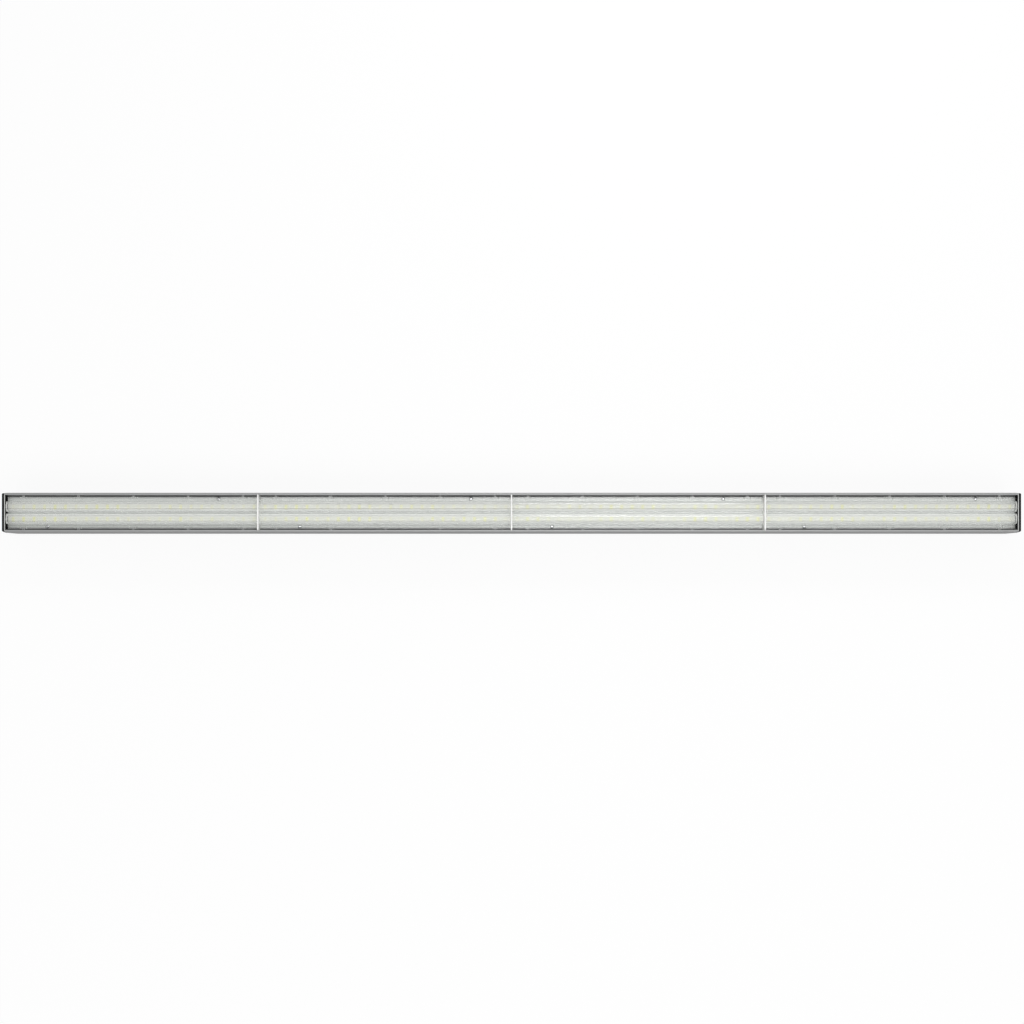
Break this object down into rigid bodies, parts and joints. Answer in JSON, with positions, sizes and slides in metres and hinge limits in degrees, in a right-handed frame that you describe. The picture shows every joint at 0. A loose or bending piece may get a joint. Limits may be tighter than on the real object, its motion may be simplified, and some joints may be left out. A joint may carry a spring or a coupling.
{
  "type": "led linear light",
  "caption": "Long slim linear LED luminaire: aluminium extrusion with clear ribbed lenses in line over white LED boards, dark end caps, a driver inside and threaded fixings in its back.",
  "frame": {"origin": "centre of the flat back, on the face that goes against a ceiling or wall", "axes": "+X along the light, +Y across it, +Z the way the light goes, out of the lenses"},
  "size_m": [1.2, 0.0476, 0.058],
  "materials": {
    "extrusion": "satin anodised extrusion",
    "board": "white solder mask on an aluminium board",
    "led": "white package with a yellow phosphor window",
    "lens": "clear moulded plastic",
    "strip": "white moulded plastic",
    "cap": "black moulded plastic, fine texture",
    "gasket": "translucent silicone",
    "seal": "black rubber",
    "screw": "zinc-plated steel",
    "strap": "tinned copper",
    "driver": "white moulded plastic",
    "terminal": "grey moulded plastic",
    "plug": "white moulded plastic",
    "lead": "insulated wire",
    "grommet": "black rubber",
    "tray": "plain sheet"
  },
  "bodies": {
    "root": {"board_links": "strap", "cable_grommet": "grommet", "driver_case": "driver", "driver_input_terminal": "terminal", "driver_output_terminal": "terminal", "driver_screws": "screw", "edge_seals_1": "seal", "edge_seals_2": "seal", "edge_seals_3": "seal", "edge_seals_4": "seal", "end_cap_left": "cap", "end_cap_right": "cap", "end_cap_screws_left": "screw", "end_cap_screws_right": "screw", "end_gasket_left": "gasket", "end_gasket_right": "gasket", "feed_pins": "strap", "feed_plug": "plug", "gear_tray": "tray", "housing": "extrusion", "joint_strip_1": "strip", "joint_strip_2": "strip", "joint_strip_3": "strip", "led_board_1": "board", "led_board_2": "board", "led_board_3": "board", "led_board_4": "board", "leds_1": "led", "leds_2": "led", "leds_3": "led", "leds_4": "led", "lens_1": "lens", "lens_2": "lens", "lens_3": "lens", "lens_4": "lens", "lens_screws": "screw", "output_leads": "lead", "suspension_inserts": "screw"}
  },
  "joints": []
}
